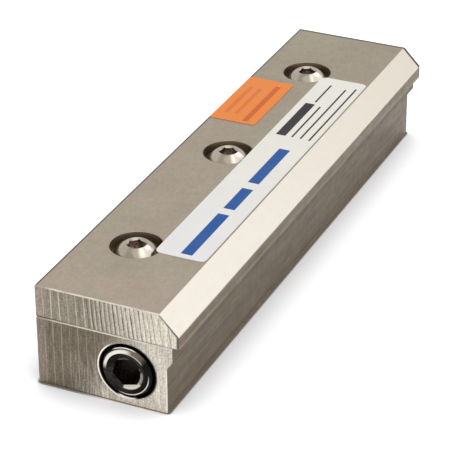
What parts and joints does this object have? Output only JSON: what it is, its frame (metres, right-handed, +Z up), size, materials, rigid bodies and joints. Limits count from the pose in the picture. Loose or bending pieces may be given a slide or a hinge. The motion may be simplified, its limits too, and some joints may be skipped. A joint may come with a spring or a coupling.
{
  "type": "compressed air knife",
  "caption": "Straight bar with an overhanging lip that blows a thin sheet of compressed air along its whole length, fed from a drilled chamber and held by tapped holes underneath.",
  "frame": {"origin": "middle of the underside, under the centre of the lip's and back face's bounding box", "axes": "+X along the knife towards the open air inlet, -Y the way the air leaves under the lip, +Z up from the mounting face"},
  "size_m": [0.153, 0.0356, 0.026],
  "materials": {
    "stainless_bar": "milled, satin",
    "stainless_screws": "satin",
    "steel_plug": "turned, slightly dark",
    "shim_steel": "rolled sheet",
    "white_film": "satin label film",
    "orange_film": "satin label film"
  },
  "bodies": {
    "root": {"knife_body": "stainless_bar", "knife_cap": "stainless_bar", "gap_shim": "shim_steel", "cap_screw_1": "stainless_screws", "cap_screw_2": "stainless_screws", "cap_screw_3": "stainless_screws", "port_plug": "steel_plug", "white_label": "white_film", "orange_label": "orange_film"}
  },
  "joints": []
}
